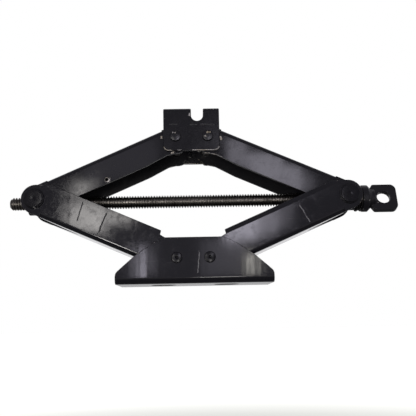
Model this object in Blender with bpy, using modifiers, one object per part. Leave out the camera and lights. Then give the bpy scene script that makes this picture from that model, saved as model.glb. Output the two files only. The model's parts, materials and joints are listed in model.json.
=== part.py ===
"""Scissor car jack: folded sheet base, four channel arms with sector gears, a notched
saddle, two trunnions and a drive screw with a forged eye.

+X runs along the screw towards the eye, +Z is up, and the origin is under the middle of
the base, on the ground. Everything is in metres.
"""

from math import acos, atan2, cos, hypot, pi, radians, sin, tan

import bmesh
import bpy
from mathutils import Matrix, Vector

# ---------------------------------------------------------------- driving dimensions
MM = 0.001
GAP = 0.3 * MM  # clearance between touching pieces
SIDE_GAP = 0.4 * MM  # clearance between sheets that slide on each other
SHEET = 3 * MM

ARM_LENGTH = 165 * MM  # trunnion axis to gear pivot
ARM_ANGLE = radians(23.5)  # arms above or below the screw, at rest
PIVOT_SPACING = 35 * MM  # between the two gear pivots, on the base and on the saddle
PIVOT_HEIGHT = 27 * MM  # base pivots above the ground

UPPER_WIDTH = 66 * MM  # over the outside of the upper arms' flanges
LOWER_WIDTH = UPPER_WIDTH + 2 * (SIDE_GAP + SHEET)
SADDLE_WIDTH = UPPER_WIDTH + 2 * (SIDE_GAP + SHEET)
BASE_WIDTH = LOWER_WIDTH + 2 * (SIDE_GAP + SHEET)

LOWER_WEB, LOWER_EDGE = 15.8 * MM, 20.5 * MM  # pivot line to web back, and to free edge
UPPER_WEB, UPPER_EDGE = 13.0 * MM, 16.7 * MM
ARM_BEND = 5 * MM

TEETH_PER_TURN = 16
PITCH_RADIUS = PIVOT_SPACING / 2
TIP_RADIUS, ROOT_RADIUS = 19.3 * MM, 15.0 * MM
BACKLASH = 0.5 * MM
PRESSURE_ANGLE = radians(20)
FIRST_TOOTH = radians(3)  # from the arm's long axis towards its free edge
SECTOR_RADIUS = 18.4 * MM  # of the blank behind the last tooth
NECK_BACK, NECK_EDGE = 17 * MM, 14.7 * MM  # where the sector's blank narrows to the arm
STEP_BACK, STEP_EDGE = 26.6 * MM, 16 * MM  # where a lower arm's free edge steps down to it
SLOPE_BACK = 42 * MM  # where an upper arm's free edge starts to slope down to it
VEE_HALF, VEE_TIP, VEE_ROUND = 28 * MM, 56 * MM, 5 * MM  # cut-out in a lower arm's web
RELIEF = 0.6 * MM  # slit between a bend's end and the plate

BASE_HALF, BASE_HEIGHT, BASE_BEND = 83.7 * MM, 48.5 * MM, 6.5 * MM
BASE_SHIFT = 1.2 * MM  # the base's middle stands a little right of the two pivots
SADDLE_HALF, SADDLE_TOP, SADDLE_DROP = 30.4 * MM, 31.5 * MM, 16 * MM
SADDLE_BEND = 4 * MM
NOTCH_CENTRE, NOTCH_HALF, NOTCH_DEPTH = 6.3 * MM, 6.5 * MM, 14.4 * MM

RIVET_SHANK, RIVET_HEAD = 4.5 * MM, 6 * MM
TUBE_RADIUS = 7 * MM
JOURNAL = 7 * MM
BARREL = 12 * MM
WASHER_RADIUS, WASHER_THICK = 11.1 * MM, 2 * MM
PEEN_RADIUS, PEEN_THICK = 10 * MM, 1.5 * MM
BOSS_RADIUS, BOSS_HALF = 13 * MM, 12.6 * MM

THREAD_RADIUS = 7 * MM
SHAFT_RADIUS = 6.5 * MM
STUB = 33.5 * MM  # thread past the left trunnion's axis
RACE_RADIUS, RACE_THICK = 14.4 * MM, 1.6 * MM
BALL_RADIUS, BALL_CIRCLE, BALL_COUNT = 1.5 * MM, 11 * MM, 12
FLANGE_RADIUS = 15 * MM
COLLAR_RADIUS, COLLAR_LENGTH, COLLAR_PIN = 10.5 * MM, 5 * MM, 1.5 * MM
EYE_ROOT, EYE_HOLE_AT, EYE_END = 30 * MM, 45 * MM, 60 * MM  # from the right trunnion
EYE_HEIGHT, EYE_THICK, EYE_HOLE, EYE_CORNER = 32 * MM, 7 * MM, 7.9 * MM, 6.7 * MM
EYE_TILT = radians(-19)  # where the screw happens to have stopped

# ------------------------------------------------------------------ derived positions
ACROSS = PIVOT_SPACING / 2
TRUNNION_X = ACROSS + ARM_LENGTH * cos(ARM_ANGLE)
TRUNNION_Z = PIVOT_HEIGHT + ARM_LENGTH * sin(ARM_ANGLE)
SADDLE_Z = PIVOT_HEIGHT + 2 * ARM_LENGTH * sin(ARM_ANGLE)
TOOTH_PITCH = 2 * pi / TEETH_PER_TURN

PAINT = (0.012, 0.012, 0.014)
STEEL = (0.32, 0.31, 0.30)
OILED = (0.09, 0.085, 0.08)


# ------------------------------------------------------------------------ scene helpers
def new_collection(name):
    collection = bpy.data.collections.new(name)
    bpy.context.scene.collection.children.link(collection)
    return collection


def material(name, colour, roughness, metallic):
    made = bpy.data.materials.new(name)
    made.use_nodes = True
    shader = made.node_tree.nodes["Principled BSDF"]
    shader.inputs["Base Color"].default_value = (*colour, 1)
    shader.inputs["Roughness"].default_value = roughness
    shader.inputs["Metallic"].default_value = metallic
    return made


def new_object(name, mesh, collection):
    made = bpy.data.objects.new(name, mesh)
    collection.objects.link(made)
    return made


def helper(name, mesh):
    """An object that only cuts or joins, and isn't part of the jack."""
    made = new_object(name, mesh, CUTTERS)
    made.hide_render = True
    made.display_type = "WIRE"
    return made


def boolean(obj, other, operation):
    modifier = obj.modifiers.new(operation.title(), "BOOLEAN")
    modifier.operation = operation
    modifier.object = other
    modifier.solver = "EXACT"


def along(axis):
    """The rotation that turns +Z to the given axis."""
    return Vector((0, 0, 1)).rotation_difference(Vector(axis)).to_matrix().to_4x4()


def mesh_of(bm, name):
    mesh = bpy.data.meshes.new(name)
    bm.to_mesh(mesh)
    bm.free()
    return mesh


def smooth(mesh, angle=radians(35)):
    mesh.shade_smooth()
    mesh.set_sharp_from_angle(angle=angle)


# ------------------------------------------------------------------------ outline tools
def arc(centre, radius, start, end, steps):
    """Points on an arc, both ends included; angles in radians."""
    turn = (end - start) / steps
    return [
        (centre[0] + radius * cos(start + k * turn), centre[1] + radius * sin(start + k * turn))
        for k in range(steps + 1)
    ]


def circle(centre, radius, steps=24):
    return arc(centre, radius, 0, 2 * pi, steps)[:-1]


def oval(centre, half_length, half_width, steps=10):
    """A slot with round ends, longer along the first axis."""
    reach = half_length - half_width
    right = arc((centre[0] + reach, centre[1]), half_width, -pi / 2, pi / 2, steps)
    left = arc((centre[0] - reach, centre[1]), half_width, pi / 2, 3 * pi / 2, steps)
    return right + left


def rounded(corners, steps=5):
    """A polygon whose corners are (x, y, radius), each rounded by its radius."""
    points = []
    for k, (x, y, radius) in enumerate(corners):
        here = Vector((x, y))
        before = (Vector(corners[k - 1][:2]) - here).normalized()
        after = (Vector(corners[(k + 1) % len(corners)][:2]) - here).normalized()
        if radius == 0:
            points.append((x, y))
            continue
        half = acos(max(-1, min(1, before.dot(after)))) / 2
        first = here + before * radius / tan(half)
        centre = here + (before + after).normalized() * radius / sin(half)
        start = atan2(first.y - centre.y, first.x - centre.x)
        last = here + after * radius / tan(half)
        end = atan2(last.y - centre.y, last.x - centre.x)
        turn = (end - start + pi) % (2 * pi) - pi
        points += arc(centre, radius, start, start + turn, steps)
    return points


# --------------------------------------------------------------------------- shape makers
def flat_face(bm, loops, place):
    """Fills the space between an outline and its holes; place turns (a, b) into a point."""
    edges = []
    for loop in loops:
        verts = [bm.verts.new(place(a, b)) for a, b in loop]
        edges += [bm.edges.new(pair) for pair in zip(verts, verts[1:] + verts[:1])]
    bmesh.ops.triangle_fill(bm, edges=edges, use_beauty=True)


def folded_sheet(
    name, outline, holes, spans, web, width, bend, web_holes=(), one_side=(), vee=False
):
    """A U of sheet metal: two side plates of the same outline, in the planes of X and Z,
    joined along each span of X by a bend and a flat web whose back is at Z = -web.
    one_side holds holes of the plate at +Y only; vee cuts a V into the web's low end."""
    bm = bmesh.new()
    for side in (-1, 1):
        own = list(one_side) if side > 0 else []
        flat_face(bm, [outline, *holes, *own], lambda a, b: (a, side * width / 2, b))
    inner = width / 2 - bend
    quarter = arc((inner, bend - web), bend, 0, -pi / 2, 6)
    for left, right in spans:
        for side in (-1, 1):
            for (y0, z0), (y1, z1) in zip(quarter, quarter[1:]):
                corners = ((left, y0, z0), (right, y0, z0), (right, y1, z1), (left, y1, z1))
                bm.faces.new([bm.verts.new((x, side * y, z)) for x, y, z in corners])
        rim = [(left, -inner), (right, -inner), (right, inner), (left, inner)]
        if vee:
            rim += rounded([(left, VEE_HALF, 0), (VEE_TIP, 0, VEE_ROUND), (left, -VEE_HALF, 0)])
        flat_face(bm, [rim, *web_holes], lambda a, b: (a, b, -web))
    bmesh.ops.remove_doubles(bm, verts=bm.verts, dist=1e-6)
    bmesh.ops.recalc_face_normals(bm, faces=bm.faces)
    bm.faces.ensure_lookup_table()
    lowest = min(bm.faces, key=lambda face: face.calc_center_median().z)
    if lowest.normal.z > 0:
        bmesh.ops.reverse_faces(bm, faces=bm.faces)
    made = new_object(name, mesh_of(bm, name), JACK)
    solid = made.modifiers.new("Sheet", "SOLIDIFY")
    solid.thickness = SHEET
    solid.offset = -1
    solid.use_even_offset = True
    made.data.materials.append(material(name, PAINT, 0.35, 0.0))
    return made


def turned(name, profile, collection, steps=32):
    """A turned shape about its own Z axis. profile holds (radius, height) from the top
    down the outer side; a closed profile makes a ring."""
    ring = profile[0][0] > 0
    bm = bmesh.new()
    verts = [bm.verts.new((r, 0, z)) for r, z in profile]
    for pair in zip(verts, verts[1:]):
        bm.edges.new(pair)
    if ring:
        bm.edges.new((verts[-1], verts[0]))
    made = new_object(name, mesh_of(bm, name), collection)
    screw = made.modifiers.new("Turn", "SCREW")
    screw.steps = steps
    screw.render_steps = steps
    screw.use_merge_vertices = True
    screw.merge_threshold = 1e-5
    return made


def cylinder(radius, start, end, name, steps=32):
    """A helper cylinder along its own Z axis."""
    made = turned(name, [(0, end), (radius, end), (radius, start), (0, start)], CUTTERS, steps)
    made.hide_render = True
    made.display_type = "WIRE"
    return made


def plate(name, outline, thickness):
    """A flat helper plate in the XZ plane, from a filled 2D curve."""
    curve = bpy.data.curves.new(name, "CURVE")
    curve.dimensions = "2D"
    curve.fill_mode = "BOTH"
    curve.extrude = thickness / 2
    spline = curve.splines.new("POLY")
    spline.points.add(len(outline) - 1)
    for point, (x, z) in zip(spline.points, outline):
        point.co = (x, z, 0, 1)
    spline.use_cyclic_u = True
    source = new_object(name, curve, CUTTERS)
    bpy.context.view_layer.update()
    graph = bpy.context.evaluated_depsgraph_get()
    mesh = bpy.data.meshes.new_from_object(source.evaluated_get(graph))
    bpy.data.objects.remove(source)
    bm = bmesh.new()
    bm.from_mesh(mesh)
    bmesh.ops.remove_doubles(bm, verts=bm.verts, dist=1e-6)
    bmesh.ops.rotate(bm, verts=bm.verts, matrix=Matrix.Rotation(pi / 2, 3, "X"))
    bmesh.ops.recalc_face_normals(bm, faces=bm.faces)
    bm.to_mesh(mesh)
    bm.free()
    return helper(name, mesh)


def coat(obj, colour, roughness, metallic):
    obj.data.materials.append(material(obj.name, colour, roughness, metallic))
    smooth(obj.data)


# ---------------------------------------------------------------------- arms and gears
def involute(angle):
    return tan(angle) - angle


def tooth(centre):
    """One gear tooth about the pivot, as points in order of rising angle."""
    base = PITCH_RADIUS * cos(PRESSURE_ANGLE)
    thick = pi * PITCH_RADIUS / TEETH_PER_TURN - BACKLASH / 2
    flank = []
    for k in range(4):
        radius = base + (TIP_RADIUS - base) * k / 3
        slope = acos(base / radius)
        half = thick / 2 / PITCH_RADIUS + involute(PRESSURE_ANGLE) - involute(slope)
        flank.append((radius, half))
    flank = [(ROOT_RADIUS, flank[0][1])] + flank
    rising = [(r, centre - half) for r, half in flank]
    falling = [(r, centre + half) for r, half in reversed(flank)]
    return [(ARM_LENGTH + r * cos(a), r * sin(a)) for r, a in rising + falling]


def arm_outline(web, edge, lug_radius, lug_shift, taper, teeth, cuts, shoulder):
    """The side plate of an arm. X runs from the trunnion (0) to the gear pivot, and Z
    from the web to the free edge. shoulder leads from the sector to the free edge."""
    bend_line = ARM_BEND - web
    near_cut, far_cut = cuts
    pivot = (ARM_LENGTH, 0)
    points = [(near_cut, bend_line), (far_cut, bend_line), (far_cut + RELIEF, bend_line)]
    # The heel starts flush with the web and ends at the roots of the teeth.
    heel = min(ROOT_RADIUS, web)
    points.append((far_cut + RELIEF, -heel))
    first, last = radians(-80), teeth[0] - TOOTH_PITCH / 2
    for k in range(9):
        radius = heel + (ROOT_RADIUS - heel) * k / 8
        angle = first + (last - first) * k / 8
        points.append((ARM_LENGTH + radius * cos(angle), radius * sin(angle)))
    for centre in teeth:
        points += tooth(centre)
    points += arc(pivot, SECTOR_RADIUS, teeth[-1] + 0.85 * TOOTH_PITCH, radians(118), 4)
    points.append((ARM_LENGTH - NECK_BACK, NECK_EDGE))
    points += [(ARM_LENGTH - back, height) for back, height in shoulder]
    # The free edge runs straight to the taper, then along a tangent to the lug.
    points.append((taper, edge))
    rise, run = edge, taper - lug_shift
    tangent = atan2(rise, run) + acos(lug_radius / hypot(rise, run))
    points += arc((lug_shift, 0), lug_radius, tangent, 1.5 * pi, 14)
    points.append((near_cut - RELIEF, -lug_radius))
    points.append((near_cut - RELIEF, bend_line))
    return points


def teeth_for(offset):
    """The tooth centres of one sector; a meshing pair differs by half a pitch."""
    first = FIRST_TOOTH - (TOOTH_PITCH / 2 if offset else 0)
    return [first + k * TOOTH_PITCH for k in range(5 if offset else 4)]


def arm(name, lower, left, offset):
    """An arm with its origin on its own joint's axis: the base pivot for a lower arm, the
    trunnion for an upper one."""
    if lower:
        web, edge, width, lug, shift, taper = LOWER_WEB, LOWER_EDGE, LOWER_WIDTH, LOWER_WEB, 2, 12
        cuts = (13 * MM, ARM_LENGTH - 12 * MM)
        shoulder = [(STEP_BACK - 0.6 * MM, STEP_EDGE), (STEP_BACK, edge)]
    else:
        web, edge, width, lug, shift, taper = UPPER_WEB, UPPER_EDGE, UPPER_WIDTH, UPPER_WEB, 0, 26
        cuts = (20 * MM, ARM_LENGTH - 11 * MM)
        shoulder = [(SLOPE_BACK, edge)]
    teeth = teeth_for(offset)
    outline = arm_outline(web, edge, lug, shift * MM, taper * MM, teeth, cuts, shoulder)
    free = not lower and not left  # the pivot that a rivet only passes through
    pivot_hole = RIVET_SHANK + (2 * GAP if free else GAP)
    holes = [circle((0, 0), JOURNAL + GAP), circle((ARM_LENGTH, 0), pivot_hole)]
    small = [circle((78.5 * MM, 12.2 * MM), 2.2 * MM, 12)] if not lower and left else []
    made = folded_sheet(
        name, outline, holes, [cuts], web, width, ARM_BEND, one_side=small, vee=lower
    )
    run = Vector((1 if left else -1, 0, 0)) * cos(ARM_ANGLE)
    direction = run + Vector((0, 0, -1 if lower else 1)) * sin(ARM_ANGLE)
    inward = Vector((0, 0, 1 if lower else -1)) * cos(ARM_ANGLE)
    inward += Vector((1 if left else -1, 0, 0)) * sin(ARM_ANGLE)
    cross = inward.cross(direction)
    turn = Matrix((direction, cross, inward)).transposed().to_4x4()
    side = -1 if left else 1
    if lower:
        made.data.transform(Matrix.Translation((-ARM_LENGTH, 0, 0)))
        place = Matrix.Translation((side * ACROSS, 0, PIVOT_HEIGHT))
    else:
        place = Matrix.Translation((side * TRUNNION_X, 0, TRUNNION_Z))
    made.matrix_world = place @ turn
    return made


# ---------------------------------------------------------------------- base and saddle
def base():
    shift = BASE_SHIFT
    right = [
        (BASE_HALF, BASE_BEND, 0),
        (BASE_HALF, 11.5 * MM, 8 * MM),
        (62 * MM, 30.5 * MM, 0),
        (42 * MM, 43.2 * MM, 0),
        (31 * MM, BASE_HEIGHT, 6 * MM),
    ]
    left = [(-x, z, r) for x, z, r in reversed(right)]
    outline = [(x + shift, z) for x, z in rounded(right + left)]
    holes = [circle((side * ACROSS, PIVOT_HEIGHT), RIVET_SHANK + GAP) for side in (-1, 1)]
    slots = [oval((side * 34.5 * MM + shift, 0), 13.5 * MM, 12.5 * MM) for side in (-1, 1)]
    span = (shift - BASE_HALF, shift + BASE_HALF)
    return folded_sheet("base", outline, holes, [span], 0, BASE_WIDTH, BASE_BEND, slots)


def saddle():
    """The sheet is drawn with its web at the bottom and then turned over about X, so
    heights change sign."""
    bend_line = SADDLE_BEND - SADDLE_TOP
    left, right = NOTCH_CENTRE - NOTCH_HALF, NOTCH_CENTRE + NOTCH_HALF
    floor = NOTCH_DEPTH - SADDLE_TOP - NOTCH_HALF
    notch = arc((NOTCH_CENTRE, floor), NOTCH_HALF, pi, 0, 14)
    outline = [(-SADDLE_HALF, bend_line), (left, bend_line), *notch, (right, bend_line)]
    outline.append((SADDLE_HALF, bend_line))
    corner = 5.3 * MM
    for side, start in ((1, 0), (-1, pi / 2)):
        centre = (side * (SADDLE_HALF - corner), SADDLE_DROP - corner)
        outline += arc(centre, corner, start, start + pi / 2, 6)
    holes = [circle((side * ACROSS, 0), RIVET_SHANK + GAP) for side in (-1, 1)]
    spans = [(-SADDLE_HALF, left), (right, SADDLE_HALF)]
    made = folded_sheet("saddle", outline, holes, spans, SADDLE_TOP, SADDLE_WIDTH, SADDLE_BEND)
    made.matrix_world = Matrix.Translation((0, 0, SADDLE_Z)) @ Matrix.Rotation(pi, 4, "X")
    return made


# ------------------------------------------------------------------- rivets and distance tubes
def rivet(name, x, z, width, dimple):
    """A rivet across both side plates, domed at each end; base rivets have a dimple."""
    face = width / 2 + GAP
    thick = 2.2 * MM
    crown = [(RIVET_HEAD, face + 0.5 * MM)]
    crown += [(RIVET_HEAD * 0.86, face + 0.78 * thick), (RIVET_HEAD * 0.5, face + thick)]
    top = [(1.3 * MM, face + thick), (0, face + thick - dimple)] if dimple else [(0, face + thick)]
    half = list(reversed(top)) + list(reversed(crown)) + [(RIVET_HEAD, face), (RIVET_SHANK, face)]
    profile = half + [(r, -y) for r, y in reversed(half)]
    made = turned(name, profile, JACK, 24)
    made.matrix_world = Matrix.Translation((x, 0, z)) @ along((0, 1, 0))
    coat(made, PAINT, 0.35, 0.0)
    return made


def distance_tube(name, x, z, width):
    half = width / 2 - SHEET - GAP
    bore = RIVET_SHANK + GAP
    profile = [(TUBE_RADIUS, half), (TUBE_RADIUS, -half), (bore, -half), (bore, half)]
    made = turned(name, profile, JACK, 24)
    made.matrix_world = Matrix.Translation((x, 0, z)) @ along((0, 1, 0))
    coat(made, STEEL, 0.45, 1.0)
    return made


# --------------------------------------------------------------------------- trunnions
def trunnion(name, x, bore):
    """A cross barrel with journals in the arms, peened over the washers, and a boss along
    the screw."""
    inside = UPPER_WIDTH / 2 - SHEET - SIDE_GAP
    washer_back = LOWER_WIDTH / 2 + GAP
    peen = washer_back + WASHER_THICK + GAP
    half = [
        (0, peen + PEEN_THICK * 0.75),
        (1.1 * MM, peen + PEEN_THICK),
        (PEEN_RADIUS * 0.8, peen + PEEN_THICK),
        (PEEN_RADIUS, peen + PEEN_THICK * 0.4),
        (PEEN_RADIUS, peen),
        (JOURNAL, peen),
        (JOURNAL, inside),
        (BARREL, inside),
    ]
    made = turned(name, half + [(r, -y) for r, y in reversed(half)], JACK)
    made.matrix_world = Matrix.Translation((x, 0, TRUNNION_Z)) @ along((0, 1, 0))
    boss = cylinder(BOSS_RADIUS, -BOSS_HALF, BOSS_HALF, name + "_boss")
    hole = cylinder(bore, -3 * BARREL, 3 * BARREL, name + "_bore")
    for other, operation in ((boss, "UNION"), (hole, "DIFFERENCE")):
        other.matrix_world = Matrix.Translation((x, 0, TRUNNION_Z)) @ along((1, 0, 0))
        boolean(made, other, operation)
    coat(made, PAINT, 0.4, 0.0)
    return made


def trunnion_washer(name, x, side):
    start = LOWER_WIDTH / 2 + GAP
    bore = JOURNAL + GAP
    soft = 0.5 * MM
    profile = [
        (WASHER_RADIUS - soft, WASHER_THICK),
        (WASHER_RADIUS, WASHER_THICK - soft),
        (WASHER_RADIUS, 0),
        (bore, 0),
        (bore, WASHER_THICK),
    ]
    made = turned(name, profile, JACK)
    place = Matrix.Translation((x, side * start, TRUNNION_Z))
    made.matrix_world = place @ along((0, side, 0))
    coat(made, PAINT, 0.4, 0.0)
    return made


# ------------------------------------------------------------------------- screw assembly
def on_screw(obj):
    """Turns a piece made along Z onto the screw, measured from the right trunnion."""
    obj.matrix_world = Matrix.Translation((TRUNNION_X, 0, TRUNNION_Z)) @ along((1, 0, 0))


def ring(name, outer, bore, start, thick, colour, roughness):
    end = start + thick
    made = turned(name, [(outer, end), (outer, start), (bore, start), (bore, end)], JACK)
    on_screw(made)
    coat(made, colour, roughness, 1.0)
    return made


def drive_screw(tip, collar_at):
    left = -2 * TRUNNION_X - STUB
    relief = collar_at - 5 * MM
    profile = [
        (0, tip),
        (SHAFT_RADIUS - 0.8 * MM, tip),
        (SHAFT_RADIUS, tip - 0.8 * MM),
        (SHAFT_RADIUS, relief),
        (THREAD_RADIUS, relief - 1.5 * MM),
        (THREAD_RADIUS, left + 2.5 * MM),
        (THREAD_RADIUS - 2 * MM, left),
        (0, left),
    ]
    made = turned("drive_screw", profile, JACK)
    on_screw(made)
    boolean(made, pin_hole(collar_at), "DIFFERENCE")
    coat(made, OILED, 0.45, 1.0)
    return made


def pin_hole(collar_at):
    hole = cylinder(COLLAR_PIN + GAP, -2 * COLLAR_RADIUS, 2 * COLLAR_RADIUS, "pin_hole", 16)
    middle = TRUNNION_X + collar_at + COLLAR_LENGTH / 2
    hole.matrix_world = Matrix.Translation((middle, 0, TRUNNION_Z))
    return hole


def retaining_collar(collar_at):
    bore = SHAFT_RADIUS + GAP
    made = ring("retaining_collar", COLLAR_RADIUS, bore, collar_at, COLLAR_LENGTH, STEEL, 0.4)
    boolean(made, pin_hole(collar_at), "DIFFERENCE")
    half = COLLAR_RADIUS - GAP
    profile = [(0, half), (COLLAR_PIN, half), (COLLAR_PIN, -half), (0, -half)]
    pin = turned("collar_pin", profile, JACK, 16)
    middle = TRUNNION_X + collar_at + COLLAR_LENGTH / 2
    pin.matrix_world = Matrix.Translation((middle, 0, TRUNNION_Z))
    coat(pin, STEEL, 0.35, 1.0)
    return [made, pin]


def ball_cage(start):
    """A flat ring with the balls standing through it."""
    middle = start + BALL_RADIUS
    half = 0.8 * MM
    made = ring("thrust_ball_cage", 13.4 * MM, 8.6 * MM, middle - half, 2 * half, STEEL, 0.3)
    bm = bmesh.new()
    for k in range(BALL_COUNT):
        angle = 2 * pi * k / BALL_COUNT
        spot = Matrix.Translation((BALL_CIRCLE * cos(angle), BALL_CIRCLE * sin(angle), middle))
        bmesh.ops.create_uvsphere(bm, u_segments=10, v_segments=8, radius=BALL_RADIUS, matrix=spot)
    balls = helper("balls", mesh_of(bm, "balls"))
    on_screw(balls)
    boolean(made, balls, "UNION")
    return made


def drive_eye(start, socket):
    """The forging that the crank hooks: thrust flange, cone, neck and flat eye."""
    flange_end = 26.2 * MM
    neck = 10.2 * MM
    neck_start = flange_end + FLANGE_RADIUS - neck
    profile = [
        (0, 35 * MM),
        (neck, 35 * MM),
        (neck, neck_start),
        (FLANGE_RADIUS, flange_end),
        (FLANGE_RADIUS, start),
        (SHAFT_RADIUS + GAP, start),
        (SHAFT_RADIUS + GAP, socket),
        (0, socket),
    ]
    made = turned("drive_eye", profile, JACK)
    on_screw(made)
    half = EYE_HEIGHT / 2
    shoulder = EYE_ROOT + 3.5 * MM
    outline = rounded([
        (EYE_ROOT, -neck, 0),
        (shoulder, -half, 3 * MM),
        (EYE_END, -half, EYE_CORNER),
        (EYE_END, half, EYE_CORNER),
        (shoulder, half, 3 * MM),
        (EYE_ROOT, neck, 0),
    ])
    flat = plate("eye_plate", outline, EYE_THICK)
    hole = cylinder(EYE_HOLE, -EYE_THICK, EYE_THICK, "eye_hole")
    place = Matrix.Translation((TRUNNION_X, 0, TRUNNION_Z)) @ Matrix.Rotation(EYE_TILT, 4, "X")
    flat.matrix_world = place
    hole.matrix_world = place @ Matrix.Translation((EYE_HOLE_AT, 0, 0)) @ along((0, 1, 0))
    boolean(made, flat, "UNION")
    boolean(made, hole, "DIFFERENCE")
    coat(made, PAINT, 0.4, 0.0)
    return made


def screw_assembly():
    inner_race = BOSS_HALF + GAP
    balls = inner_race + RACE_THICK + GAP
    outer_race = balls + 2 * BALL_RADIUS + GAP
    flange = outer_race + RACE_THICK + GAP
    socket = flange + 6 * MM
    collar_at = -(BOSS_HALF + GAP + COLLAR_LENGTH)
    drive_screw(socket - 0.5 * MM, collar_at)
    retaining_collar(collar_at)
    for name, start in (("thrust_race_inner", inner_race), ("thrust_race_outer", outer_race)):
        ring(name, RACE_RADIUS, SHAFT_RADIUS + 2 * GAP, start, RACE_THICK, STEEL, 0.3)
    ball_cage(balls)
    drive_eye(flange, socket)


def build():
    base()
    saddle()
    arm("lower_left_arm", lower=True, left=True, offset=False)
    arm("lower_right_arm", lower=True, left=False, offset=True)
    arm("upper_left_arm", lower=False, left=True, offset=False)
    arm("upper_right_arm", lower=False, left=False, offset=True)
    for hand, side in (("left", -1), ("right", 1)):
        x = side * ACROSS
        rivet(f"base_rivet_{hand}", x, PIVOT_HEIGHT, BASE_WIDTH, 1.2 * MM)
        rivet(f"saddle_rivet_{hand}", x, SADDLE_Z, SADDLE_WIDTH, 0)
        distance_tube(f"base_tube_{hand}", x, PIVOT_HEIGHT, LOWER_WIDTH)
        distance_tube(f"saddle_tube_{hand}", x, SADDLE_Z, UPPER_WIDTH)
        for place, near in (("front", -1), ("rear", 1)):
            trunnion_washer(f"{hand}_washer_{place}", side * TRUNNION_X, near)
    trunnion("trunnion_nut", -TRUNNION_X, THREAD_RADIUS + GAP)
    trunnion("trunnion_block", TRUNNION_X, SHAFT_RADIUS + GAP)
    screw_assembly()


for old in list(bpy.data.objects):
    bpy.data.objects.remove(old)
JACK = new_collection("Car jack")
CUTTERS = new_collection("Cutters")
build()
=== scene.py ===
"""Looks of the scissor car jack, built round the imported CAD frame: pressed sheets with
rounded cut edges, a rolled thread, turned rivets, peened trunnions, worn black paint and
oiled steel. Everything is in metres, in the frame of the CAD: X runs along the screw
towards the drive eye, Y away from the camera, Z up from the sole of the base."""

import json
from math import acos, atan2, cos, hypot, pi, radians, sin, tan

import bmesh
import bpy
from mathutils import Matrix, Vector

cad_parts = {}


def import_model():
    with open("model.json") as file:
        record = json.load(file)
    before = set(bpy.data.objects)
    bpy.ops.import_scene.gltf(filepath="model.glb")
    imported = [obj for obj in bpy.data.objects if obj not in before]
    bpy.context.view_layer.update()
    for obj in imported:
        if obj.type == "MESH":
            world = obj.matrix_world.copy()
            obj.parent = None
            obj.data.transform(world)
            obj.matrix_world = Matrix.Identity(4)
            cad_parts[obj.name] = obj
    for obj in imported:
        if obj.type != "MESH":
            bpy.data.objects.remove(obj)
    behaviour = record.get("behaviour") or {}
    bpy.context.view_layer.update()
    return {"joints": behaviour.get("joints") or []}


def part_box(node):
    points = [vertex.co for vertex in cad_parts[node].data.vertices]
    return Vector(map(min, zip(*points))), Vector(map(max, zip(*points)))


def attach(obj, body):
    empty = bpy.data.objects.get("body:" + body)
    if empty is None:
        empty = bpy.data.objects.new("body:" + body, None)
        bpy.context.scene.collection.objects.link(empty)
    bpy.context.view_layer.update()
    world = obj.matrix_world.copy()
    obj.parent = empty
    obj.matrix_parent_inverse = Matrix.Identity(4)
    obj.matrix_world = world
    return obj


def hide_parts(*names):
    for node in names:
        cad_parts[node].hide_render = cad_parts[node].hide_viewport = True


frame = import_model()

# ------------------------------------------------------------------- sizes from the frame
MM = 0.001
JOINTS = {joint["name"]: joint for joint in frame["joints"]}
BASE_PIVOT = {side: Vector(JOINTS[f"lower_{side}_pivot"]["pos_m"]) for side in ("left", "right")}
TRUNNION = {side: Vector(JOINTS[f"upper_{side}_pivot"]["pos_m"]) for side in ("left", "right")}
SADDLE_Z = JOINTS["saddle_pivot"]["pos_m"][2]
ACROSS = BASE_PIVOT["right"].x
ARM_LENGTH = (TRUNNION["right"] - BASE_PIVOT["right"]).length
SCREW = TRUNNION["right"]

# Sheets: play round a pin and between nested sheets, thickness, and widths over the sheets.
GAP, SIDE_GAP, SHEET = 0.3 * MM, 0.4 * MM, 3 * MM
UPPER_WIDTH = 66 * MM
LOWER_WIDTH = SADDLE_WIDTH = UPPER_WIDTH + 2 * (SIDE_GAP + SHEET)
BASE_WIDTH = LOWER_WIDTH + 2 * (SIDE_GAP + SHEET)
# From the line of an arm's pivots to the outside of its web, and to its open edge.
LOWER_WEB, LOWER_EDGE = 15.8 * MM, 20.5 * MM
UPPER_WEB, UPPER_EDGE = 13.0 * MM, 16.7 * MM
ARM_BEND, BASE_BEND, SADDLE_BEND = 5 * MM, 6.5 * MM, 4 * MM
ROUND_EDGE, SADDLE_ROUND_EDGE = 0.42 * MM, 0.9 * MM
# The V cut into a lower arm's web, and how far the base stands to the right of its rivets.
VEE_HALF, VEE_TIP, VEE_ROUND = 28 * MM, 56 * MM, 5 * MM
BASE_SHIFT = 1.2 * MM

# Sector gears.
TEETH_PER_TURN, PRESSURE_ANGLE = 16, radians(20)
TOOTH_PITCH = 2 * pi / TEETH_PER_TURN
TIP_RADIUS, ROOT_RADIUS, SECTOR_RADIUS = 19.3 * MM, 15.0 * MM, 18.4 * MM
BACKLASH, FIRST_TOOTH = 0.5 * MM, radians(3)

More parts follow.
